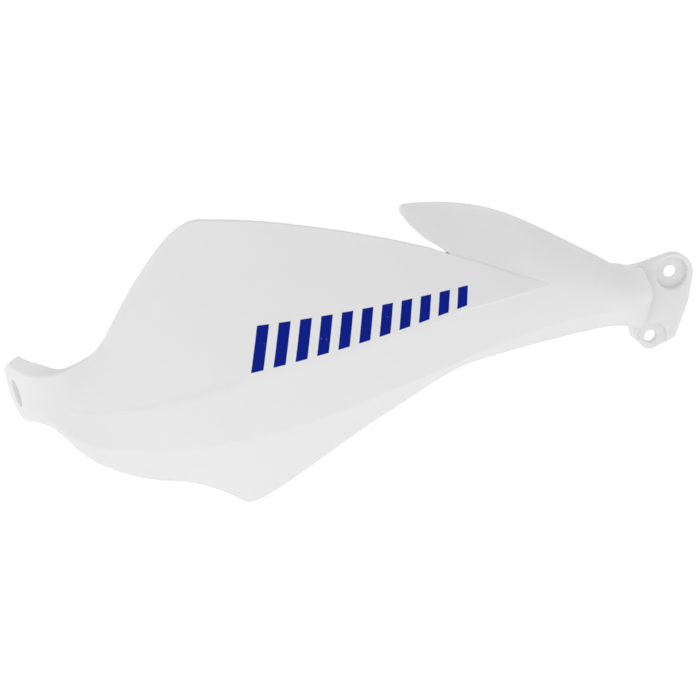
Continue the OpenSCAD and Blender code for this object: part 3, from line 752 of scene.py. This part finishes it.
class GuardFinish(bpy.types.PropertyGroup):
    """Sizes and colours of the guard."""

    rim_radius: bpy.props.FloatProperty(
        name="Rim Radius", description="Rounding of the wall's free edges, in millimetres",
        default=0.9, min=0.3, max=1.4)
    lip_radius: bpy.props.FloatProperty(
        name="Lip Radius", description="Rounding of the recesses' mouths, in millimetres",
        default=0.7, min=0.1, max=1.2)
    plastic: bpy.props.FloatVectorProperty(
        name="Plastic", description="Colour of the moulded plastic", subtype="COLOR",
        default=(0.80, 0.799, 0.803), min=0.0, max=1.0)
    print_colour: bpy.props.FloatVectorProperty(
        name="Print", description="Colour of the printed bars", subtype="COLOR",
        default=(0.001, 0.011, 0.245), min=0.0, max=1.0)
    roughness: bpy.props.FloatProperty(
        name="Roughness", description="Roughness of the plastic's satin gloss",
        subtype="FACTOR", default=0.38, min=0.1, max=0.9)
    edge_wear: bpy.props.FloatProperty(
        name="Edge Wear", description="How much the edges are rubbed dull",
        subtype="FACTOR", default=0.2, min=0.0, max=1.0)
    depth: bpy.props.FloatProperty(
        name="Depth", description="Share of the light that enters the plastic and comes out nearby",
        subtype="FACTOR", default=0.35, min=0.0, max=1.0)


class StudioSettings(bpy.types.PropertyGroup):
    """Floor, light and camera."""

    floor_drop: bpy.props.FloatProperty(
        name="Floor Drop", description="Distance of the floor below the guard", unit="LENGTH",
        default=0.30, min=0.0, max=2.0)
    sky: bpy.props.FloatProperty(
        name="Sky", description="Strength of the even light from all round",
        default=0.91, min=0.0, max=2.0)
    slope: bpy.props.FloatProperty(
        name="Slope", description="How much more of that light comes from below than from above",
        default=0.20, min=0.0, max=1.0)
    glow: bpy.props.FloatProperty(
        name="Floor Glow", description="Strength of the floor's own light",
        default=0.32, min=0.0, max=1.0)
    key: bpy.props.FloatProperty(
        name="Key", description="Power of the large low lamp on the bar-end side", unit="POWER",
        default=1.0, min=0.0, max=200.0)
    top: bpy.props.FloatProperty(
        name="Top", description="Power of the overhead lamp", unit="POWER",
        default=0.3, min=0.0, max=200.0)
    lens: bpy.props.FloatProperty(
        name="Lens", description="Focal length on a 36 mm sensor, in millimetres",
        default=FOCAL * SENSOR / PICTURE, min=20.0, max=300.0)


class HANDGUARD_OT_guard(bpy.types.Operator):
    """Builds the moulded guard with its holes, recesses, finish and print"""

    bl_idname = "handguard.build_guard"
    bl_label = "Build Guard"

    def execute(self, context):
        settings = context.scene.guard_finish
        guard = placed(wall_mesh(settings.rim_radius))
        if not closed(guard.data):
            raise RuntimeError("the wall's patches don't meet")
        combine(guard, placed(flange_mesh(0.7), scaled(FLANGE_PLACE)), "UNION")
        lip = settings.lip_radius
        for spot, depth, mouth in (((0, 0), LUG_STEP, 0.7 * lip),
                                   ((SCREW_DX, SCREW_DZ), POCKET_DEPTH, 2 * lip)):
            screw = recess_profile(SCREW_D / 2, POCKET_D / 2, depth, FLANGE_T, mouth)
            place = scaled(FLANGE_PLACE @ Matrix.Translation((*spot, 0)))
            combine(guard, placed(turned_mesh("screw_recess", screw), place), "DIFFERENCE")
        place = Matrix.Translation((OUTER_X * MM, 0, 0)) @ Matrix.Rotation(-math.pi / 2, 4, "Y")
        bore = placed(turned_mesh("bar_end_bore", bore_profile(BORE_D / 2, END_T, lip)), place)
        combine(guard, bore, "DIFFERENCE")
        if not closed(guard.data):
            raise RuntimeError("the cut guard isn't closed")
        self.finish_mesh(guard, settings)
        return {"FINISHED"}

    def finish_mesh(self, guard, settings):
        guard.name = guard.data.name = "guard_moulding"
        low, high = (np.array(c) for c in CAD_BOX)
        points = np.zeros(len(guard.data.vertices) * 3)
        guard.data.vertices.foreach_get("co", points)
        points = np.clip(points.reshape(-1, 3), low, high)
        guard.data.vertices.foreach_set("co", points.ravel())
        guard.data.materials.clear()
        guard.data.materials.append(plastic(settings))
        for face in guard.data.polygons:
            face.material_index = 0
        guard.data.shade_smooth()
        guard.data.set_sharp_from_angle(angle=math.radians(38))
        mark_edges(guard.data, 0.5, 0.004)
        guard.data.update()
        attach(guard, "root")
        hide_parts("hand_guard")


def scaled(matrix):
    """A placing matrix whose shift is given in millimetres, in metres."""
    made = matrix.copy()
    made.translation = matrix.translation * MM
    return made


def add_lamp(name, power, place, target, size):
    """Adds a soft round lamp that points at the target."""
    lamp = bpy.data.lights.new(name, "AREA")
    lamp.shape = "DISK"
    lamp.energy = power
    lamp.size = size
    item = bpy.data.objects.new(name, lamp)
    bpy.context.collection.objects.link(item)
    item.location = place
    item.rotation_euler = (Vector(target) - Vector(place)).to_track_quat("-Z", "Y").to_euler()


def background(shader, strength, slope):
    """White where it is seen, mirrored or shone through, and plain light elsewhere.

    The plain light is a little stronger from below and from the bar end's side.
    """
    across, _, height = shader.parts(shader.add("ShaderNodeTexCoord", output=0))
    strength = strength - height * slope - across * (slope * ACROSS)
    path = seen = shader.add("ShaderNodeLightPath")
    for name in ("Is Glossy Ray", "Is Transmission Ray"):
        seen = seen.most(Socket(shader, path.out.node.outputs[name]))
    return shader.add("ShaderNodeBackground", None, {
        "Color": (1.0, 1.0, 1.0, 1.0), "Strength": seen + (1.0 - seen) * strength})


class HANDGUARD_OT_studio(bpy.types.Operator):
    """Builds the pale floor, the soft lamps, the world's light and the camera"""

    bl_idname = "handguard.build_studio"
    bl_label = "Build Studio"

    def execute(self, context):
        settings = context.scene.studio_settings
        self.floor(settings)
        self.world(context, settings)
        middle = (0.16, -0.06, 0.0)
        add_lamp("key_lamp", settings.key, (-0.9, -1.1, -0.12), middle, 1.0)
        add_lamp("top_lamp", settings.top, (0.1, -0.6, 1.5), middle, 1.6)
        self.camera(context, settings)
        context.scene.view_settings.view_transform = "Standard"
        return {"FINISHED"}

    def floor(self, settings):
        """A wide pale floor, clear from below."""
        form = bmesh.new()
        reach = 12.0
        corners = [(-reach, -reach), (reach, -reach), (reach, reach), (-reach, reach)]
        form.faces.new([form.verts.new((x, y, 0)) for x, y in corners])
        made = bpy.data.meshes.new("studio_floor")
        form.to_mesh(made)
        form.free()
        floor = placed(made)
        floor.location.z = CAD_BOX[0][2] - settings.floor_drop
        shader = Shader(bpy.data.materials.new("pale_floor"))
        behind = shader.add("ShaderNodeNewGeometry", output=6)
        body = shader.add("ShaderNodeBsdfPrincipled", None, {
            "Base Color": (0.9, 0.9, 0.9, 1.0), "Roughness": 0.9, "Specular IOR Level": 0.0,
            "Emission Color": (1.0, 1.0, 1.0, 1.0), "Emission Strength": settings.glow})
        clear = shader.add("ShaderNodeBsdfTransparent")
        shown = shader.add("ShaderNodeMixShader", None, [behind, body, clear])
        shader.add("ShaderNodeOutputMaterial", None, {"Surface": shown})
        made.materials.append(shader.owner)

    def world(self, context, settings):
        shader = Shader(bpy.data.worlds.new("studio_world"))
        context.scene.world = shader.owner
        surface = background(shader, settings.sky, settings.slope)
        shader.add("ShaderNodeOutputWorld", None, {"Surface": surface})

    def camera(self, context, settings):
        data = bpy.data.cameras.new("photo_camera")
        data.sensor_width = SENSOR
        data.lens = settings.lens
        data.clip_start, data.clip_end = 0.05, 60
        item = bpy.data.objects.new("photo_camera", data)
        context.collection.objects.link(item)
        forward = Vector(CAMERA_FORWARD).normalized()
        right = forward.cross(Vector(CAMERA_UP)).normalized()
        up = right.cross(forward)
        turn = Matrix((right, up, -forward)).transposed()
        item.matrix_world = Matrix.Translation(CAMERA_AT) @ turn.to_4x4()
        context.scene.camera = item


class HANDGUARD_PT_panel(bpy.types.Panel):
    """Lists the guard's builders and settings"""

    bl_idname = "HANDGUARD_PT_panel"
    bl_label = "Hand Guard"
    bl_space_type = "VIEW_3D"
    bl_region_type = "UI"
    bl_category = "Hand Guard"

    def draw(self, context):
        layout = self.layout
        for group in (context.scene.guard_finish, context.scene.studio_settings):
            box = layout.box()
            for name in group.__annotations__:
                box.prop(group, name)
        layout.operator(HANDGUARD_OT_guard.bl_idname)
        layout.operator(HANDGUARD_OT_studio.bl_idname)


CLASSES = (GuardFinish, StudioSettings, HANDGUARD_OT_guard, HANDGUARD_OT_studio,
           HANDGUARD_PT_panel)


def register():
    """Registers the classes and the two groups of settings."""
    for item in CLASSES:
        bpy.utils.register_class(item)
    bpy.types.Scene.guard_finish = bpy.props.PointerProperty(type=GuardFinish)
    bpy.types.Scene.studio_settings = bpy.props.PointerProperty(type=StudioSettings)


def unregister():
    """Takes the settings and the classes away again."""
    del bpy.types.Scene.studio_settings
    del bpy.types.Scene.guard_finish
    for item in reversed(CLASSES):
        bpy.utils.unregister_class(item)


def main():
    """Builds the guard and the studio."""
    register()
    bpy.ops.handguard.build_guard()
    bpy.ops.handguard.build_studio()


if __name__ == "__main__":
    main()
